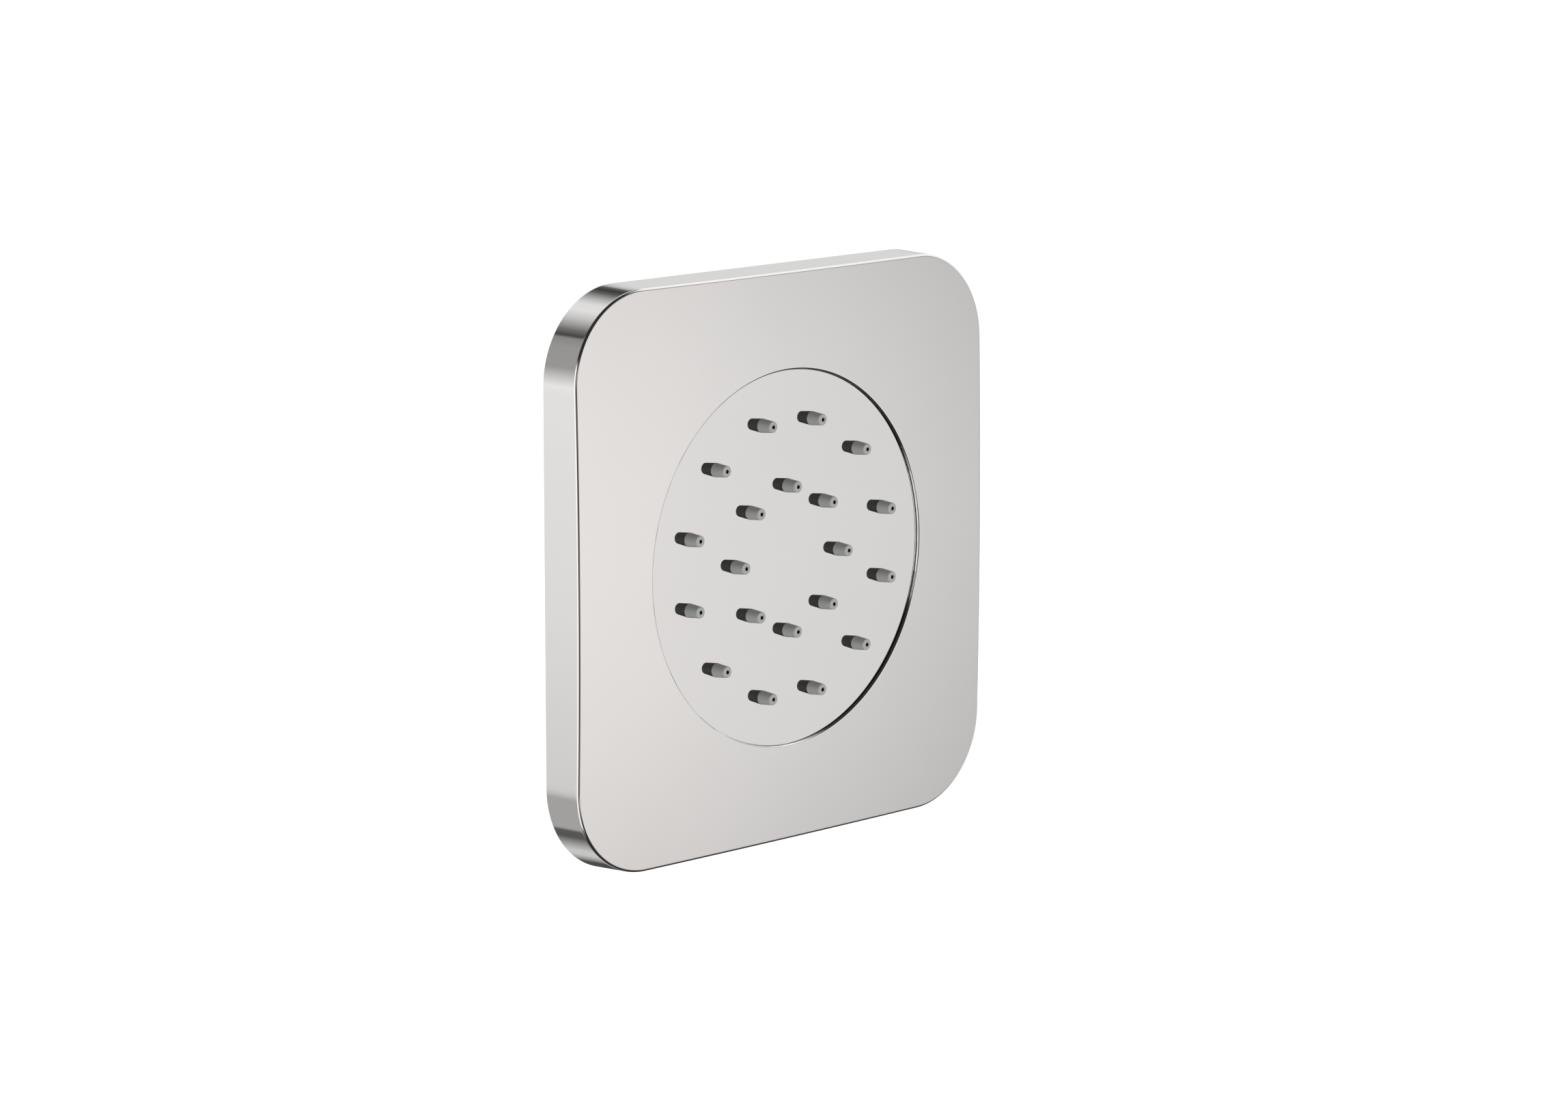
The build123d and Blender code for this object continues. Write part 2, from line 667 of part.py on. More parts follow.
# Screws from the back of the chamber into the face's bosses
screw_head_back = chamber_back_rear - SCREW_HEAD_H
with BuildPart() as chamber_screws:
    drill(SCREWS, SCREW_R, chamber_back_front + screw_grip, chamber_back_rear, Mode.ADD)
    drill(SCREWS, screw_head_r, chamber_back_rear, screw_head_back, Mode.ADD)
    with BuildSketch(facing(screw_head_back)):
        with Locations(*SCREWS):
            RegularPolygon(radius=SCREW_SOCKET_AF / 2, side_count=6, major_radius=False)
    extrude(amount=SCREW_SOCKET_DEPTH, mode=Mode.SUBTRACT)
finish(chamber_screws, "chamber_screws")

with BuildPart() as ball_seal:
    with BuildSketch(RADIAL):
        with Locations((groove_r, groove_depth)):
            Circle(BALL_SEAL_SECTION_R)
    revolve(axis=JET_AXIS)
finish(ball_seal, "ball_seal")

# Ring nut with a ball-shaped seat and spanner notches
nut_r = nut_thread_r - STATIC_FIT
with BuildPart() as retainer_nut:
    with BuildSketch(RADIAL):
        with BuildLine():
            arc_on_sphere(pocket_r, seat_start_polar, seat_end_polar)
            Polyline(
                on_sphere(pocket_r, seat_end_polar),
                (nut_open_r, nut_rear),
                (nut_r, nut_rear),
                (nut_r, nut_front),
                on_sphere(pocket_r, seat_start_polar),
            )
        make_face()
    revolve(axis=JET_AXIS)
    with BuildSketch(facing(nut_rear)):
        with PolarLocations((nut_open_r + nut_r) / 2, NUT_NOTCH_COUNT, start_angle=180 / NUT_NOTCH_COUNT):
            Rectangle(2 * (nut_r - nut_open_r), NUT_NOTCH_W)
    extrude(amount=NUT_NOTCH_DEPTH, mode=Mode.SUBTRACT)
finish(retainer_nut, "retainer_nut")
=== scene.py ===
import json
import math

import bmesh
import bpy
import numpy as np
from mathutils import Matrix


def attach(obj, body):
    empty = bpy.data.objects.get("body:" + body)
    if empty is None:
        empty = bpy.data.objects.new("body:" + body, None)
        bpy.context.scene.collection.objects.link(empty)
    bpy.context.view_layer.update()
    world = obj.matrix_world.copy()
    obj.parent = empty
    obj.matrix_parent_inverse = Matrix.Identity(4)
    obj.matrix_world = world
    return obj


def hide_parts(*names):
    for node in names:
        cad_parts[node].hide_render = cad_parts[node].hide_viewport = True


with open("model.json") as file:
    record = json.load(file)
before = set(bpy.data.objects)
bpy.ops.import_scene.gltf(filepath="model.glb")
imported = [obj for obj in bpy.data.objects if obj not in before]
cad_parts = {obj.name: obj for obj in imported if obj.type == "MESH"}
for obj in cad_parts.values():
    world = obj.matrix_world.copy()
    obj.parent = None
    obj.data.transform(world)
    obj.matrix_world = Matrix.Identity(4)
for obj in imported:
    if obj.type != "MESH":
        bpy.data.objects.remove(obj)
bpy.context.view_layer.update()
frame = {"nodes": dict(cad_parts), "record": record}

# Sizes are in millimetres. A depth is a distance in front of the wall, so y = -depth.
MM = 0.001

# Cover plate: a drafted square shell with a domed front, a round hole and four studs behind its corners
PLATE_HALF = 71.5
CORNER_R = 23.0
PLATE_T = 12.4
DOME_R = 2080.0
DRAFT = math.radians(2.3)
WALL = 2.2
EDGE_ROUND = 0.65
EDGE_GUESS = 1.5
HOLE_R = 46.75
HOLE_ROUND = 0.45
STUD_R = 2.5
STUD_AT = 48.5
STUD_BACK = 1.0
STUD_CHAMFER = 0.6

# Balls about the swivel's centre: the wall of the plate's hole and the skirt of the spray face
BALL_DEPTH = -7.9299
LIP_R = 50.65
SKIRT_R = 50.56
SKIRT_END = math.radians(79.77)

# Spray face: a cup with a flat front, a hole for every nozzle and bosses for the chamber's screws
FACE_DEPTH = 11.0745
FACE_ROUND = 0.3
FLAT_R = 43.0
FLAT_MARGINS = (0.6, 0.1)
SKIRT_WALL = 2.0
SKIRT_REAR_WALL = 1.8
CHAMBER_FRONT = 5.3747
CHAMBER_REAR = 2.8747
NOZZLE_HOLE = 1.76
BOSS_COUNT = 6
BOSS_RING = 42.607
BOSS_R = 2.2
BOSS_HOLE = 1.3
BOSS_FLOOR = 8.9247
BOSS_ROOT = 0.2

# Nozzle mat: a sheet with a bead behind its rim and two rings of nozzles
MAT_FRONT = 9.8747
MAT_BACK = 8.3747
MAT_R = 40.357
BEAD_W = 2.0
INNER_RING = 18.127
OUTER_RING = 34.977
PAIR = math.radians(14.43)
NOZZLE_H = 3.87
BASE_R = 1.77
TIP_R = 1.4
TIP_ROUND = 0.3
BORE_R = 0.44
BORE_LIP = 0.08
BORE_FLAT = 0.25
BORE_MARGIN = 0.05
FEED_R = 1.0
LAND = 1.5

# Fineness of the meshes: columns round a form, and rows or steps along it
COLUMNS = 48
DISC_COLUMNS = 256
PLATE_SIDE_COLUMNS = 72
PLATE_CORNER_COLUMNS = 40
HOLE_WALL_ROWS = 6
HOLE_ROUND_ROWS = 14
FRONT_ROWS = 20
EDGE_ROWS = 12
SIDE_ROWS = 8
CEILING_ROWS = 8
SKIRT_ROWS = 12
FACE_ROUND_ROWS = 9
CONE_STEPS = (0.05, 0.4, 0.8)
TIP_ROWS = 8
BORE_LIP_ROWS = 5
INNER_CELLS = (10.0, 26.0)
OUTER_CELLS = (27.0, 37.5)
CELL_STEPS = np.array([0.0, 0.35, 1.0])
SOLVE_ROUNDS = 8
SEAM = 0.001
SHARP = math.radians(35)


# Surfaces

def arc(r, d, radius, start, end, count):
    """Points (r + radius cos t, d + radius sin t) of an arc, for t from start to end in radians."""
    t = np.linspace(start, end, count)
    return np.stack([r + radius * np.cos(t), d + radius * np.sin(t)], 1)


def eased(count):
    """Steps from 0 to 1 that bunch up at both ends: (1 - cos(pi k)) / 2."""
    return (1 - np.cos(np.pi * np.linspace(0, 1, count))) / 2


def quads(rows, cols, loop):
    """Faces between neighbouring rows and columns of a grid. Its columns close on themselves, and in a
    loop its rows too."""
    i = np.arange(rows if loop else rows - 1)[:, None]
    j = np.arange(cols)[None, :]
    k, n = (i + 1) % rows, (j + 1) % cols
    return np.stack([i * cols + j, i * cols + n, k * cols + n, k * cols + j], -1).reshape(-1, 4)


def strip(grid, loop=False):
    """Patch of a (rows, columns, 3) grid whose columns close on themselves, and its rows too in a loop."""
    return grid.reshape(-1, 3), quads(*grid.shape[:2], loop)


def fan(ring):
    """Flat patch between a ring of points and the middle of the ring."""
    j = np.arange(len(ring))
    k = (j + 1) % len(ring)
    return np.concatenate([ring, [ring.mean(0)]]), np.stack([0 * j + len(ring), j, k, k], 1)


def band(inner, outer):
    """Triangles between two rings of points: the steps round both in order of their turn, each joined to
    the point last reached on the other ring."""
    n, m = len(inner), len(outer)
    turns = np.concatenate([np.arange(1, n + 1) / n, np.arange(1, m + 1) / m])
    on_outer = np.argsort(turns, kind="stable") >= n
    i, j = np.cumsum(~on_outer), np.cumsum(on_outer)
    last = np.where(on_outer, n + (j - 1) % m, (i - 1) % n)
    return np.concatenate([inner, outer]), np.stack([i % n, n + j % m, last, last], 1)


def turned(profile, around, at=(0.0, 0.0), first=0.0):
    """Grid of profile points (r, d) turned about the line through at along the jets, from the angle first:
    (x + r cos a, -d, z + r sin a)."""
    a = first + np.arange(around) * 2 * np.pi / around
    r, d = np.asarray(profile, float).T[:, :, None]
    return np.stack([at[0] + r * np.cos(a), -d + 0 * a, at[1] + r * np.sin(a)], -1)


def capped(profile, spots):
    """A turned profile about each spot, closed by flat ends."""
    grids = [turned(profile, COLUMNS, at) for at in spots]
    return [patch for grid in grids for patch in (strip(grid), fan(grid[0]), fan(grid[-1]))]


def piece(name, patches, body, slot, node):
    """Closed mesh of patches joined where they meet, its faces outwards and smooth but for its sharp
    edges. It stands in place of a CAD node."""
    starts = np.cumsum([0] + [len(points) for points, _ in patches])
    points = np.concatenate([points for points, _ in patches]) * MM
    faces = np.concatenate([faces + start for (_, faces), start in zip(patches, starts)])
    mesh = bpy.data.meshes.new(name)
    mesh.from_pydata(points.tolist(), [], [list(dict.fromkeys(face)) for face in faces.tolist()])
    joined = bmesh.new()
    joined.from_mesh(mesh)
    bmesh.ops.remove_doubles(joined, verts=joined.verts, dist=SEAM * MM)
    bmesh.ops.recalc_face_normals(joined, faces=joined.faces)
    joined.to_mesh(mesh)
    joined.free()
    mesh.shade_smooth()
    mesh.set_sharp_from_angle(angle=SHARP)
    mesh.materials.append(finishes[slot])
    made = bpy.data.objects.new(name, mesh)
    bpy.context.scene.collection.objects.link(made)
    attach(made, body)
    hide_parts(node)
    return made


# Shaders

class Wire:
    """One output of a shader tree. Sums of wires and numbers add Math nodes."""

    def __init__(self, tree, socket=None):
        self.tree, self.socket = tree, socket

    def node(self, kind, settings=None, sockets=None, out=0):
        """Adds a node: its settings and a ramp's stops first, then the values or wires of its sockets.
        Gives one of its outputs."""
        made = self.tree.nodes.new("ShaderNode" + kind)
        for key, value in (settings or {}).items():
            if key == "stops":
                ramp = made.color_ramp.elements
                ramp.remove(ramp[1])
                ramp[0].position = value[0][0]
                for place, level in value:
                    element = ramp[0] if place == value[0][0] else ramp.new(place)
                    element.color = (level, level, level, 1)
            else:
                setattr(made, key, value)
        for key, value in (sockets or {}).items():
            if isinstance(value, Wire):
                self.tree.links.new(value.socket, made.inputs[key])
            else:
                made.inputs[key].default_value = value
        return Wire(self.tree, made.outputs[out] if made.outputs else None)

    def math(self, operation, *values, clamp=False):
        """Math node of wires and numbers."""
        return self.node("Math", {"operation": operation, "use_clamp": clamp}, dict(enumerate(values)))

    def __add__(self, other):
        return self.math("ADD", self, other)

    def __sub__(self, other):
        return self.math("SUBTRACT", self, other)

    def __rsub__(self, other):
        return self.math("SUBTRACT", other, self)

    def __mul__(self, other):
        return self.math("MULTIPLY", self, other)

    def __truediv__(self, other):
        return self.math("DIVIDE", self, other)

    def __rtruediv__(self, other):
        return self.math("DIVIDE", other, self)

    __radd__, __rmul__ = __add__, __mul__

    def step(self, start, end):
        """0 before start, 1 after end, smooth between; start may be the larger."""
        flip = start > end
        ends = {"From Min": min(start, end), "From Max": max(start, end)}
        ends |= {"To Min": float(flip), "To Max": float(not flip)}
        return self.node("MapRange", {"interpolation_type": "SMOOTHSTEP"}, {**ends, "Value": self})

    def to(self, other, amount):
        """This value where amount is 0 and the other where it is 1."""
        return self + (other - self) * amount


def blank(name):
    """New material with an empty tree: the material and a wire to start from."""
    made = bpy.data.materials.new(name)
    made.use_nodes = True
    made.node_tree.nodes.clear()
    return made, Wire(made.node_tree)


def millimetres(w):
    """The spot on the piece in millimetres, as a vector and as its three parts."""
    metres = w.node("TexCoord", out="Object")
    spot = w.node("VectorMath", {"operation": "SCALE"}, {0: metres, "Scale": 1 / MM})
    return spot, [w.node("SeparateXYZ", None, {0: spot}, axis) for axis in "XYZ"]


def grain(w, spot, pitch, detail=2.0):
    """Noise from 0 to 1 whose features are about one pitch across, in millimetres."""
    return w.node("TexNoise", None, {"Vector": spot, "Scale": 1 / pitch, "Detail": detail}, "Fac")


def mixed(w, first, second, amount):
    """Colour between two colours, each written as four numbers or given as a wire."""
    return w.node("Mix", {"data_type": "RGBA"}, {0: amount, 6: first, 7: second}, 2)


def tint(w, dark, light, amount):
    """Colour between two colours, each written as red, green and blue."""
    return mixed(w, (*dark, 1), (*light, 1), amount)


def grey(level):
    """Neutral colour."""
    return level, level, level


def surface(w, colour, roughness, relief, height, **fixed):
    """Principled surface with a colour, a roughness and a relief of so many millimetres."""
    normal = w.node("Bump", None, {"Strength": 1.0, "Distance": height * MM, "Height": relief})
    sockets = {"Base Color": colour, "Roughness": roughness, "Normal": normal, **fixed}
    w.node("OutputMaterial", None, {"Surface": w.node("BsdfPrincipled", None, sockets)})


def chrome():
    """Bright plating: faint clouds in its polish over a very fine ripple."""
    made, w = blank("bright_chrome")
    spot, _ = millimetres(w)
    cloud, haze = grain(w, spot, pitch=22.0, detail=3.0), grain(w, spot, pitch=1.6)
    colour = tint(w, (0.785, 0.782, 0.778), (0.815, 0.812, 0.808), cloud)
    roughness = 0.018 + cloud * 0.014 + haze * 0.01
    surface(w, colour, roughness, relief=grain(w, spot, pitch=0.9), height=0.0001, Metallic=1.0)
    return made


def silicone():
    """Grey nozzle rubber: satin, with a fine moulded grain, and painted shade that turns it near black in
    the bores.
    """
    made, w = blank("grey_silicone")
    spot, _ = millimetres(w)
    cloud, fine = grain(w, spot, pitch=3.0), grain(w, spot, pitch=0.25)
    bore = w.node("Attribute", {"attribute_name": "bore"}, out="Fac")
    colour = tint(w, (0.285, 0.285, 0.282), (0.315, 0.315, 0.312), cloud)
    # Painted shade: the colour goes near black on the points of the narrow bores, where little light gets in
    colour = mixed(w, colour, (*grey(0.012), 1), bore)
    surface(w, colour, 0.42 + fine * 0.06, relief=fine, height=0.001, IOR=1.41)
    return made


def moulded(name, dark, light, pitch, roughness, height):
    """Moulded plastic, rubber or foam: mottled, with a grain of one pitch."""
    made, w = blank(name)
    spot, _ = millimetres(w)
    mottle, fine = grain(w, spot, pitch * 14), grain(w, spot, pitch)
    surface(w, tint(w, dark, light, mottle * 0.6 + fine * 0.4), roughness + fine * 0.12, fine, height)
    return made


def lathed(name, dark, light, roughness):
    """Turned metal: fine rings round the jet axis and uneven tarnish."""
    made, w = blank(name)
    spot, (x, y, z) = millimetres(w)
    reach = w.math("SQRT", x * x + z * z)
    lines = w.node("CombineXYZ", None, {"X": reach * 3.0, "Y": y * 3.0, "Z": 0.0})
    cut, tarnish = grain(w, lines, pitch=0.5), grain(w, spot, pitch=6.0, detail=4.0)
    colour = tint(w, dark, light, tarnish * 0.7 + cut * 0.3)
    surface(w, colour, roughness + tarnish * 0.14, relief=cut, height=0.006, Metallic=1.0)
    return made


finishes = {
    "chrome": chrome(),
    "nozzle_rubber": silicone(),
    "foam": moulded(
        "black_foam", grey(0.03), grey(0.075), pitch=0.5, roughness=0.75, height=0.15
    ),
    "black_rubber": moulded(
        "sealing_rubber", grey(0.02), grey(0.045), pitch=0.3, roughness=0.5, height=0.02
    ),
    "brass": lathed("turned_brass", (0.60, 0.43, 0.20), (0.78, 0.60, 0.32), roughness=0.2),
    "steel": lathed("stainless_steel", (0.52, 0.52, 0.52), (0.64, 0.64, 0.63), roughness=0.22),
    "housing_plastic": moulded(
        "grey_housing", (0.36, 0.39, 0.42), (0.44, 0.47, 0.50), pitch=0.4, roughness=0.42, height=0.02
    ),
    "white_plastic": moulded(
        "natural_plastic", (0.78, 0.78, 0.75), (0.87, 0.87, 0.84), pitch=0.35, roughness=0.38, height=0.012
    ),
}
for subpart in frame["record"]["subparts"]:
    for material_slot in frame["nodes"][subpart["node"]].material_slots:
        material_slot.material = finishes[subpart["material_slot"]]


# Cover plate

def dome(r):
    """Depth of the plate's front, a sphere of radius DOME_R: PLATE_T - (DOME_R - sqrt(DOME_R^2 - r^2))."""
    return PLATE_T - (DOME_R - np.sqrt(DOME_R**2 - r**2))


def outline(side, corner):
    """Columns round a square with rounded corners: points of its core square and the outward direction at
    each. The outline set in by e is then core + (CORNER_R - e) * outward."""
    core = PLATE_HALF - CORNER_R
    t = np.linspace(-core, core, side, endpoint=False)
    a = np.linspace(0, np.pi / 2, corner, endpoint=False)
    base = np.concatenate([np.stack([0 * t + core, t], 1), np.tile([core, core], (corner, 1))])
    out = np.concatenate([np.tile([1.0, 0.0], (side, 1)), np.stack([np.cos(a), np.sin(a)], 1)])
    turns = [np.linalg.matrix_power(np.array([[0, 1], [-1, 0]]), k) for k in range(4)]
    return np.concatenate([base @ m for m in turns]), np.concatenate([out @ m for m in turns])


def plate_shell():
    """Loop of rows from the hole over the domed front, down the drafted side and back inside.
    Rows near the hole are circles, rows near the rim follow the outline, and the front runs straight from
    one to the other."""
    base, out = outline(PLATE_SIDE_COLUMNS, PLATE_CORNER_COLUMNS)
    rim = base + CORNER_R * out
    ray = rim / np.linalg.norm(rim, axis=1, keepdims=True)

    def round_row(r, d):
        """Circle of radius r at depth d."""
        return np.stack([r * ray[:, 0], np.full(len(ray), -d), r * ray[:, 1]], 1)

    def outline_row(e, d):
        """Outline set in by e, at depth d."""
        spot = base + (CORNER_R - np.broadcast_to(e, len(base)))[:, None] * out
        return np.stack([spot[:, 0], np.broadcast_to(-d, len(base)), spot[:, 1]], 1)

    def domed_rows(start, end, steps, lowered):
        """Rows straight from one row to another, on the dome lowered by so much."""
        rows = start + (end - start) * steps[:, None, None]
        rows[..., 1] = lowered - dome(np.hypot(rows[..., 0], rows[..., 2]))
        return list(rows)

    # Round of the hole: its section is a circle that touches the dome and the hole's ball-shaped wall
    round_r = HOLE_R
    for _ in range(SOLVE_ROUNDS):
        round_d = dome(round_r) - HOLE_ROUND
        round_r = math.sqrt((LIP_R + HOLE_ROUND) ** 2 - (round_d - BALL_DEPTH) ** 2)
    wall_turn = math.atan2(BALL_DEPTH - round_d, -round_r) % (2 * np.pi)
    hole = arc(round_r, round_d, HOLE_ROUND, wall_turn, np.pi / 2, HOLE_ROUND_ROWS)

    # Wall of the hole, from the plate's inside to that round
    rear_r = HOLE_R
    for _ in range(SOLVE_ROUNDS):
        rear_r = math.sqrt(LIP_R**2 - (dome(rear_r) - WALL - BALL_DEPTH) ** 2)
    rear_d = dome(rear_r) - WALL
    rear_polar = math.atan2(rear_r, rear_d - BALL_DEPTH)
    front_polar = math.atan2(*(hole[0] - [0, BALL_DEPTH]))
    polar = np.linspace(rear_polar, front_polar, HOLE_WALL_ROWS)[:-1]
    rows = [round_row(LIP_R * math.sin(p), BALL_DEPTH + LIP_R * math.cos(p)) for p in polar]
    rows += [round_row(r, d) for r, d in hole]

    # Round of the outer edge: it touches the drafted side below and the dome above
    slope = PLATE_HALF / DOME_R
    middle_d = np.full(len(base), PLATE_T - EDGE_GUESS)
    for _ in range(SOLVE_ROUNDS):
        touch_d = middle_d + EDGE_ROUND * math.sin(DRAFT)
        middle_e = touch_d * math.tan(DRAFT) + EDGE_ROUND * math.cos(DRAFT)
        crest = base + (CORNER_R - (middle_e - EDGE_ROUND * math.sin(slope)))[:, None] * out
        middle_d = dome(np.linalg.norm(crest, axis=1)) - EDGE_ROUND * math.cos(slope)
    edge = [
        outline_row(middle_e - EDGE_ROUND * math.cos(t), middle_d + EDGE_ROUND * math.sin(t))
        for t in np.linspace(np.pi / 2 - slope, DRAFT, EDGE_ROWS)
    ]
    rows += domed_rows(rows[-1], edge[0], eased(FRONT_ROWS)[1:-1], 0.0) + edge
    foot = outline_row(0.0, 0.0)
    rows += [edge[-1] + (foot - edge[-1]) * s for s in eased(SIDE_ROWS)[1:]]

    # Inside: the flat rim, the cavity's wall and its ceiling
    rows.append(outline_row(WALL, 0.0))
    ceiling = dome(np.linalg.norm(base + (CORNER_R - WALL) * out, axis=1)) - WALL
    rows.append(outline_row(WALL + ceiling * math.tan(DRAFT), ceiling))
    steps = np.linspace(0, 1, CEILING_ROWS)[1:-1]
    rows += domed_rows(rows[-1], round_row(rear_r, rear_d), steps, WALL)
    return strip(np.array(rows), loop=True)


def studs():
    """Four turned pegs with chamfered tips behind the plate's corners."""
    top = dome(STUD_AT * math.sqrt(2)) - WALL / 2
    peg = [(STUD_R, top), (STUD_R, STUD_BACK + STUD_CHAMFER), (STUD_R - STUD_CHAMFER, STUD_BACK)]
    return capped(peg, [(x, z) for x in (-STUD_AT, STUD_AT) for z in (-STUD_AT, STUD_AT)])


piece("plate_skin", [plate_shell(), *studs()], "wall_unit", "chrome", "cover_plate")


# Spray face and nozzles

# Turns of the nozzles about the jet axis: an inner ring of eight, and an outer ring of four pairs with a
# single nozzle between each two pairs
inner_ways = np.arange(8) * np.pi / 4
outer_ways = ((np.arange(4) * np.pi / 2)[:, None] + np.array([-PAIR, PAIR, np.pi / 4])).ravel()
ways = np.concatenate([inner_ways, outer_ways])
ring_radii = np.repeat([INNER_RING, OUTER_RING], [len(inner_ways), len(outer_ways)])
nozzle_spots = ring_radii[:, None] * np.stack([np.cos(ways), np.sin(ways)], 1)


def sleeves(profile):
    """A turned profile about every nozzle's spot, with columns from an eighth of a turn before outwards."""
    return [strip(turned(profile, COLUMNS, at, way - np.pi / 4)) for at, way in zip(nozzle_spots, ways)]


def cells(ring_ways, ring_r, low, high, start, d, hole):
    """Flat ring at depth d with a round hole about every nozzle. A nozzle's cell is an equal share of the
    ring between two radii, and its patch runs straight from the hole's circle to the cell's four sides."""
    t = np.arange(COLUMNS) * 4 / COLUMNS
    side_r = np.interp(t, range(5), [high, high, low, low, high])
    side_share = np.arange(len(ring_ways))[:, None] + np.interp(t, range(5), [0, 1, 1, 0, 0])
    side_a = start + side_share * 2 * np.pi / len(ring_ways)
    hole_a = ring_ways[:, None] - np.pi / 4 + t * np.pi / 2
    x = ring_r * np.cos(ring_ways)[:, None] + hole * np.cos(hole_a)
    z = ring_r * np.sin(ring_ways)[:, None] + hole * np.sin(hole_a)
    edge = np.stack([x, 0 * x - d, z], -1)
    side = np.stack([side_r * np.cos(side_a), 0 * x - d, side_r * np.sin(side_a)], -1)
    return [strip(e + (s - e) * CELL_STEPS[:, None, None]) for e, s in zip(edge, side)]


def pierced(d, hole, rim, around):
    """Flat sheet at depth d inside a circle, with a hole for every nozzle: a fan in the middle, a ring of
    cells for each ring of nozzles, and bands between their circles and out to the rim."""
    inner_count, outer_count = len(inner_ways) * COLUMNS // 4, len(outer_ways) * COLUMNS // 4
    inner_circles = [turned([(r, d)], inner_count)[0] for r in INNER_CELLS]
    outer_circles = [turned([(r, d)], outer_count)[0] for r in OUTER_CELLS]
    middle, rim_circle = fan(inner_circles[0]), turned([(rim, d)], around)[0]
    between, outside = band(inner_circles[1], outer_circles[0]), band(outer_circles[1], rim_circle)
    inner = cells(inner_ways, INNER_RING, *INNER_CELLS, -np.pi / 8, d, hole)
    outer = cells(outer_ways, OUTER_RING, *OUTER_CELLS, -np.pi / 6, d, hole)
    return [middle, *inner, between, *outer, outside]


def bosses():
    """Pegs inside the face's rim, each with a blind hole for a screw."""
    a = (np.arange(BOSS_COUNT) + 0.5) * 2 * np.pi / BOSS_COUNT
    peg = [(BOSS_R, MAT_FRONT + BOSS_ROOT), (BOSS_R, CHAMBER_FRONT)]
    peg += [(BOSS_HOLE, CHAMBER_FRONT), (BOSS_HOLE, BOSS_FLOOR)]
    return capped(peg, BOSS_RING * np.stack([np.cos(a), np.sin(a)], 1))


def spray_face():
    """Cup with a flat pierced front, a small round, the ball-shaped skirt, and bosses in its hollow."""
    round_d = FACE_DEPTH - FACE_ROUND
    round_r = math.sqrt((SKIRT_R - FACE_ROUND) ** 2 - (round_d - BALL_DEPTH) ** 2)
    touch = math.atan2(round_d - BALL_DEPTH, round_r)
    flat = [(FLAT_R, FACE_DEPTH), *[(round_r - margin, FACE_DEPTH) for margin in FLAT_MARGINS]]
    edge = arc(round_r, round_d, FACE_ROUND, np.pi / 2, touch, FACE_ROUND_ROWS)
    polar = np.linspace(np.pi / 2 - touch, SKIRT_END, SKIRT_ROWS)[1:]
    skirt = [(SKIRT_R * math.sin(p), BALL_DEPTH + SKIRT_R * math.cos(p)) for p in polar]
    end_r, end_d = skirt[-1]
    cup = math.sqrt(SKIRT_R**2 - (FACE_DEPTH - BALL_DEPTH) ** 2) - SKIRT_WALL
    hollow = [(end_r - SKIRT_REAR_WALL, end_d), (cup, CHAMBER_REAR), (cup, MAT_FRONT)]
    side = strip(turned([*flat, *edge, *skirt, *hollow], DISC_COLUMNS))
    front = pierced(FACE_DEPTH, NOZZLE_HOLE, FLAT_R, DISC_COLUMNS)
    rear = pierced(MAT_FRONT, NOZZLE_HOLE, cup, DISC_COLUMNS)
    holes = sleeves([(NOZZLE_HOLE, FACE_DEPTH), (NOZZLE_HOLE, MAT_FRONT)])
    return [side, *front, *rear, *holes, *bosses()]


def nozzle_mat():
    """Sheet with a bead behind its rim and a nozzle on every spot: a slim cone with a rounded tip, a
    narrow bore, and a wider feed that runs on through the sheet."""
    tip = FACE_DEPTH + NOZZLE_H
    taper = math.atan2(BASE_R - TIP_R, NOZZLE_H)
    crown = TIP_R - TIP_ROUND * math.tan((np.pi / 2 - taper) / 2)
    profile = [
        (BASE_R, MAT_FRONT), (BASE_R, FACE_DEPTH),
        *[(BASE_R - (BASE_R - TIP_R) * k, FACE_DEPTH + NOZZLE_H * k) for k in CONE_STEPS],
        *arc(crown, tip - TIP_ROUND, TIP_ROUND, taper, np.pi / 2, TIP_ROWS),
        (BORE_R + BORE_FLAT, tip),
        *arc(BORE_R + BORE_LIP, tip - BORE_LIP, BORE_LIP, np.pi / 2, np.pi, BORE_LIP_ROWS),
        (BORE_R, tip - LAND), (FEED_R, tip - LAND), (FEED_R, MAT_BACK),
    ]
    bead_r = MAT_R - BEAD_W
    rim = [(MAT_R, MAT_FRONT), (MAT_R, CHAMBER_FRONT), (bead_r, CHAMBER_FRONT), (bead_r, MAT_BACK)]
    front = pierced(MAT_FRONT, BASE_R, MAT_R, DISC_COLUMNS)
    rear = pierced(MAT_BACK, FEED_R, bead_r, DISC_COLUMNS)
    return [strip(turned(rim, DISC_COLUMNS)), *front, *rear, *sleeves(profile)]


def mark_bore_shade(mesh):
    """Attribute bore: 1 on the points of the nozzles' narrow bores and 0 elsewhere. The nozzle rubber paints
    shade in the bores by it.
    """
    points = np.empty(len(mesh.vertices) * 3)
    mesh.vertices.foreach_get("co", points)
    points = points.reshape(-1, 3) / MM
    reach = np.linalg.norm(points[:, None, ::2] - nozzle_spots[None], axis=2).min(1)
    in_bore = (reach < BORE_R + BORE_MARGIN) & (points[:, 1] < -FACE_DEPTH)
    mesh.attributes.new("bore", "FLOAT", "POINT").data.foreach_set("value", in_bore.astype(float))


piece("spray_skin", spray_face(), "spray_head", "chrome", "spray_face")
mark_bore_shade(piece("nozzle_skin", nozzle_mat(), "spray_head", "nozzle_rubber", "nozzle_mat").data)


# Studio, in metres

FLOOR_Z = -4.1
FLOOR_HALF = 80.0
FLOOR_GLOW = 0.95
SKY_LIGHT = 0.22
CARD_R = 4.0


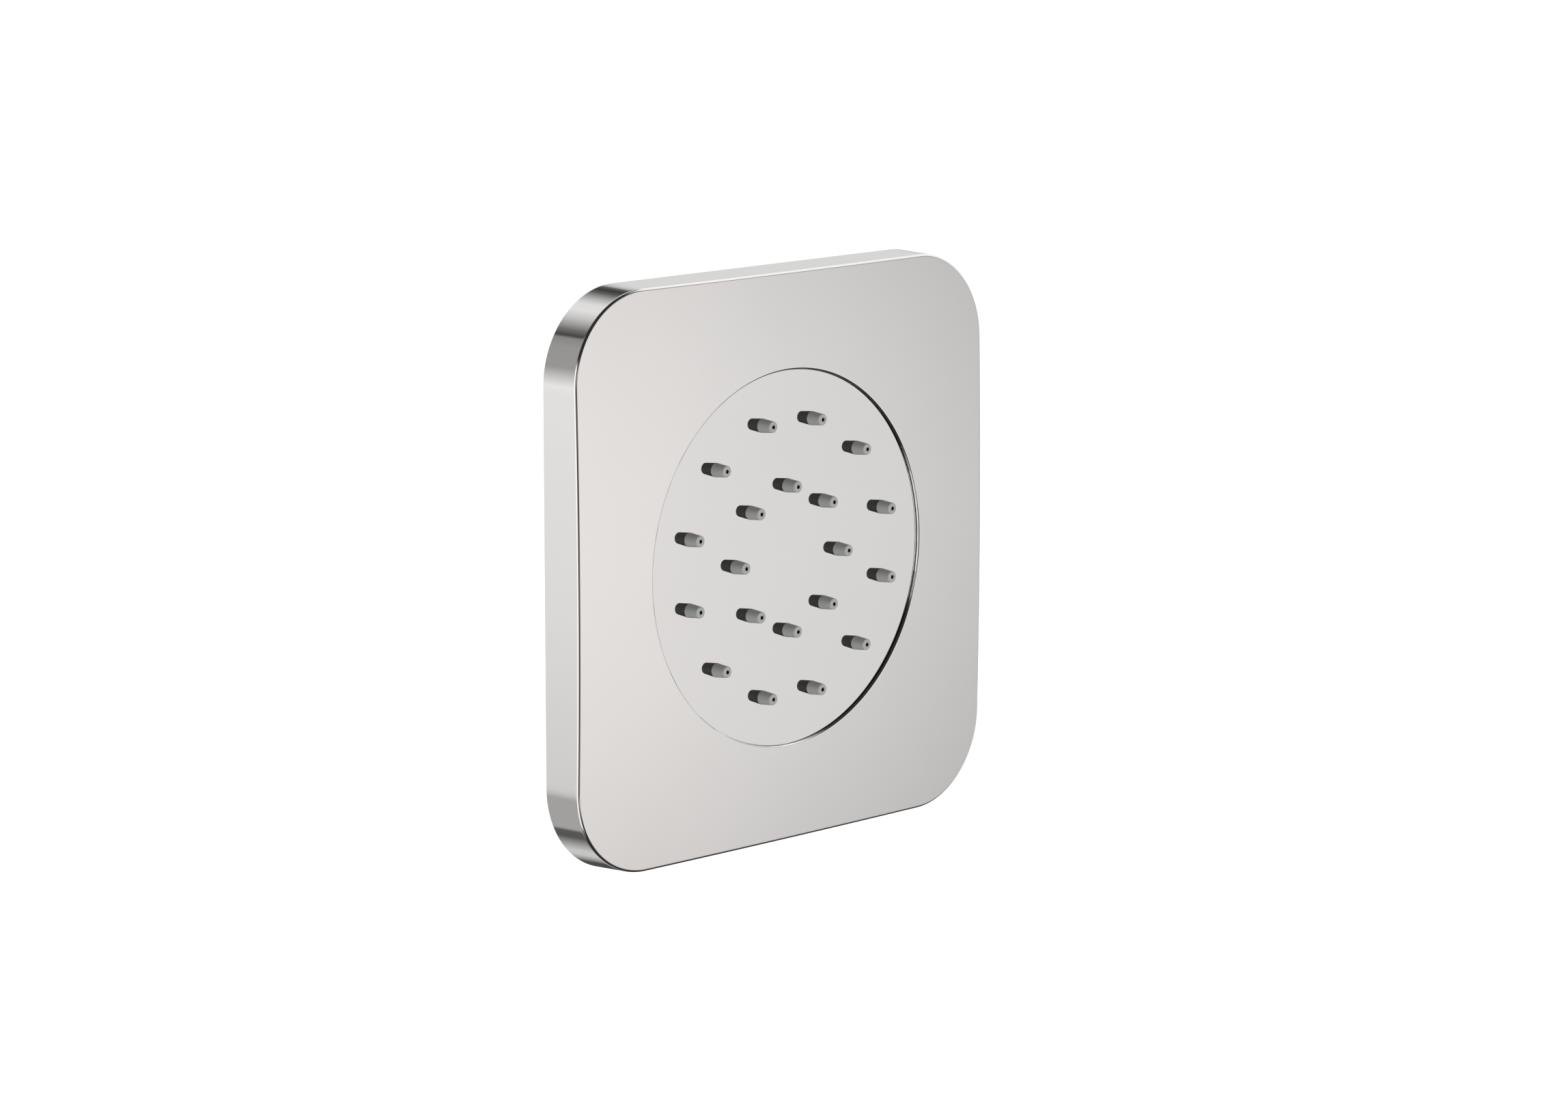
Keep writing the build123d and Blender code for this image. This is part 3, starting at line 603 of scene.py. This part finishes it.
def stage_sheet(name, points, faces, material):
    """Floor or card of the studio."""
    mesh = bpy.data.meshes.new(name)
    mesh.from_pydata(points.tolist(), [], faces.tolist())
    mesh.shade_smooth()
    mesh.materials.append(material)
    made = bpy.data.objects.new(name, mesh)
    bpy.context.scene.collection.objects.link(made)
    return made


def seen_white(w):
    """1 for rays of the camera, mirrors and glass, which see the white background."""
    kinds = ("Is Camera Ray", "Is Glossy Ray", "Is Transmission Ray")
    camera_ray, glossy_ray, glass_ray = (w.node("LightPath", out=kind) for kind in kinds)
    return w.math("ADD", camera_ray, glossy_ray + glass_ray, clamp=True)


def floor_paint():
    """Pale matt floor that takes the object's shadow and is brought up to white for the camera."""
    made, w = blank("pale_floor")
    spot, _ = millimetres(w)
    colour = tint(w, grey(0.86), grey(0.9), grain(w, spot, pitch=60.0))
    matt = w.node("BsdfDiffuse", None, {"Color": colour})
    glow = w.node("Emission", None, {"Color": (1, 1, 1, 1), "Strength": seen_white(w) * FLOOR_GLOW})
    w.node("OutputMaterial", None, {"Surface": w.node("AddShader", None, {0: matt, 1: glow})})
    return made


def card_paint(name, level, red, fade):
    """Studio card that shines by a level worked out from the direction of each spot seen from the object.
    Its red is raised a little, and that fades out between two values of x. Only mirrors show the card: it
    throws no light on a matt piece, also not by way of a mirror."""
    made, w = blank(name)
    way = w.node("VectorMath", {"operation": "NORMALIZE"}, {0: w.node("TexCoord", out="Object")})
    parts = [w.node("SeparateXYZ", None, {0: way}, axis) for axis in "XYZ"]
    warmth = tint(w, (red, 1.0, 0.988), (1.0, 1.0, 0.985), parts[0].step(*fade))
    in_mirrors = w.math("LESS_THAN", w.node("LightPath", out="Diffuse Depth"), 0.5)
    glow = w.node("Emission", None, {"Color": warmth, "Strength": level(w, *parts) * in_mirrors})
    w.node("OutputMaterial", None, {"Surface": glow})
    made.cycles.emission_sampling = "NONE"
    return made


# Grey and white strips behind the object: their turn in degrees about the jet axis, from +X over the top,
# and their level
STRIPS = [
    (0, 0.60), (15, 0.76), (24, 0.70), (31, 0.56), (37, 0.12), (45, 0.05), (54, 0.13),
    (62, 0.35), (78, 0.88), (90, 0.92), (102, 0.68), (118, 0.20), (126, 0.06), (129, 0.30),
    (140, 0.37), (164, 0.38), (186, 0.98), (194, 0.87), (206, 0.44), (243, 0.44), (247, 0.12),
    (256, 0.11), (280, 0.69), (289, 0.66), (308, 0.08), (330, 0.065), (344, 0.20), (360, 0.60),
]
CORNER_FIELD = 1.05

# Panel to the front right: its middle in degrees across and up, its level there, its least level, and how
# the level slopes and bends by the degree across and up
PANEL_ACROSS = 46.0
PANEL_RISE = -10.0
PANEL_LEVEL = 0.835
PANEL_LEAST = 0.62
PANEL_SLOPES = (-0.0188, 0.0026)
PANEL_BENDS = (-0.0006, -0.0020)

# Levels of the other fields in front
DARK = 0.03
DARK_ROUND_PANEL = 0.04
GREY_ABOVE_PANEL = 0.3
WHITE_BESIDE_PANEL = 1.0
WHITE_ABOVE_PANEL = 1.1
LEFT_FIELD = 0.76
LEFT_FIELD_END = 0.42
AHEAD_FIELD = 0.19
AHEAD_FIELD_ENDS = 0.5
LEFT_EDGE_LEAN = 0.4


def rear_strips(w, x, y, z):
    """Strips about the jet axis, with a light field at the upper right in front of them."""
    turn = w.math("FRACT", w.math("ARCTAN2", z, x) / (2 * math.pi) + 1.0)
    stops = [(angle / 360, level) for angle, level in STRIPS]
    strips = w.node("ValToRGB", {"stops": stops}, {"Fac": turn})
    return strips.to(CORNER_FIELD, y.step(0.62, 0.55) * x.step(0.2, 0.4) * z.step(0.1, 0.2))


def front_fields(w, x, y, z):
    """Levels by the degrees across, from straight ahead to the right, and the degrees of rise: a panel to
    the right that fades from its middle, with grey and white fields above and beside it, a light field to
    the left, a grey one straight ahead, and dark for the rest."""
    across = w.math("ARCTAN2", x, 0 - y) * math.degrees(1)
    rise = w.math("ARCSINE", z) * math.degrees(1)
    u, e = across - PANEL_ACROSS, rise - PANEL_RISE
    panel = PANEL_LEVEL + u * PANEL_SLOPES[0] + e * PANEL_SLOPES[1]
    panel = panel + u * u * PANEL_BENDS[0] + e * e * PANEL_BENDS[1]
    panel = w.math("MAXIMUM", panel, PANEL_LEAST)
    panel = panel.to(GREY_ABOVE_PANEL, rise.step(0.0, 4.0) * across.step(60.0, 52.0))
    panel = panel.to(WHITE_BESIDE_PANEL, rise.step(0.0, 8.0) * across.step(56.0, 64.0))
    panel = panel.to(WHITE_ABOVE_PANEL, rise.step(9.0, 19.0) * across.step(38.0, 48.0))
    panel = panel.to(DARK_ROUND_PANEL, rise.step(-20.0, -34.0))
    panel = panel.to(DARK_ROUND_PANEL, rise.step(48.0, 56.0))
    panel = panel.to(DARK_ROUND_PANEL, rise.step(9.0, 19.0) * across.step(46.0, 36.0))
    left_height = rise.step(-54.0, -46.0) * rise.step(26.0, 14.0)
    left = left_height * (LEFT_FIELD + across.step(-57.0, -66.0) * LEFT_FIELD_END) + DARK
    ahead = w.math("ABSOLUTE", across).step(14.0, 9.0) * rise.step(-27.0, -21.0) * rise.step(8.0, 3.0)
    ahead_ends = w.math("ABSOLUTE", e).step(4.5, 10.0)
    middle = ahead * (AHEAD_FIELD + ahead_ends * AHEAD_FIELD_ENDS) + DARK
    lean = w.math("MAXIMUM", 0 - e, 0.0) * LEFT_EDGE_LEAN
    return middle.to(left, (across - lean).step(-42.0, -50.0)).to(panel, across.step(25.0, 31.0))


def cap(low, high, rows=48, cols=96):
    """Part of a ball of radius CARD_R about the object, between two values of y on the unit ball."""
    y = np.linspace(low, high, rows)[:, None]
    a = np.arange(cols) * 2 * np.pi / cols
    r = np.sqrt(1 - y**2)
    ball = CARD_R * np.stack([r * np.cos(a), y + 0 * a, r * np.sin(a)], -1)
    return strip(ball)


for name, span, level, red, fade in (
    ("rear_cards", (0.25, 0.93), rear_strips, 1.015, (-0.5, 0.5)),
    ("front_cards", (-0.9999, 0.25), front_fields, 1.035, (0.6, 0.85)),
):
    card = stage_sheet(name, *cap(*span), card_paint(name, level, red, fade))
    card.visible_camera = card.visible_diffuse = False
    card.visible_shadow = card.visible_volume_scatter = False

corners = np.array([[-1, -1], [1, -1], [1, 1], [-1, 1]]) * FLOOR_HALF
floor_points = np.column_stack([corners, np.full(4, FLOOR_Z)])
stage_sheet("floor", floor_points, np.array([[0, 1, 2, 3]]), floor_paint())

world = bpy.data.worlds.new("studio")
world.use_nodes = True
world.node_tree.nodes.clear()
wire = Wire(world.node_tree)
strength = SKY_LIGHT + seen_white(wire) * (1 - SKY_LIGHT)
sky = wire.node("Background", None, {"Color": (1, 1, 1, 1), "Strength": strength})
wire.node("OutputWorld", None, {"Surface": sky})
bpy.context.scene.world = world


def axes(back):
    """Sideways, upward and backward axes, as columns, of a lamp or camera with its back to a direction."""
    side = np.cross([0.0, 0.0, 1.0], back)
    side /= np.linalg.norm(side)
    return np.stack([side, np.cross(back, side), back], 1)


def put(name, data, turn, spot):
    """Lamp or camera at a spot, with its axes as the columns of turn."""
    made = bpy.data.objects.new(name, data)
    matrix = np.eye(4)
    matrix[:3, :3] = turn
    matrix[:3, 3] = spot
    made.matrix_world = Matrix(matrix.tolist())
    bpy.context.scene.collection.objects.link(made)
    return made


def lamp(name, spot, size, watts):
    """Square soft lamp that points at the object. It lights what is seen directly, not what mirrors show."""
    data = bpy.data.lights.new(name, "AREA")
    data.size, data.energy = size, watts
    data.cycles.max_bounces = 0
    data.cycles.use_multiple_importance_sampling = False
    made = put(name, data, axes(np.array(spot) / np.linalg.norm(spot)), spot)
    made.visible_glossy = False


lamp("key_lamp", (-1.15, -1.37, -0.65), size=2.0, watts=49.0)
lamp("fill_lamp", (0.78, -1.35, 1.09), size=1.6, watts=20.0)
lamp("rear_lamp_left", (-1.2, 1.4, 0.7), size=1.6, watts=28.0)
lamp("rear_lamp_right", (1.2, 1.4, 0.7), size=1.6, watts=28.0)


# Camera at the photograph's place: it looks at the object from front left, ten degrees above

SENSOR = 36.0
CLIP_NEAR = 0.05
CLIP_FAR = 200.0


def camera(azimuth, elevation, distance, focal, shift_right, shift_up):
    """Camera on the ray at that azimuth and elevation, moved sideways and up in its own plane."""
    a, e = math.radians(azimuth), math.radians(elevation)
    turn = axes(np.array([math.sin(a) * math.cos(e), -math.cos(a) * math.cos(e), math.sin(e)]))
    data = bpy.data.cameras.new("camera")
    data.sensor_fit, data.sensor_width, data.lens = "HORIZONTAL", SENSOR, focal
    data.clip_start, data.clip_end = CLIP_NEAR, CLIP_FAR
    return put("camera", data, turn, turn @ [shift_right, shift_up, distance])


bpy.context.scene.camera = camera(
    azimuth=-45.769, elevation=10.003, distance=1.295064, focal=119.874,
    shift_right=0.007149, shift_up=-0.00053,
)
bpy.context.scene.view_settings.view_transform = "Standard"
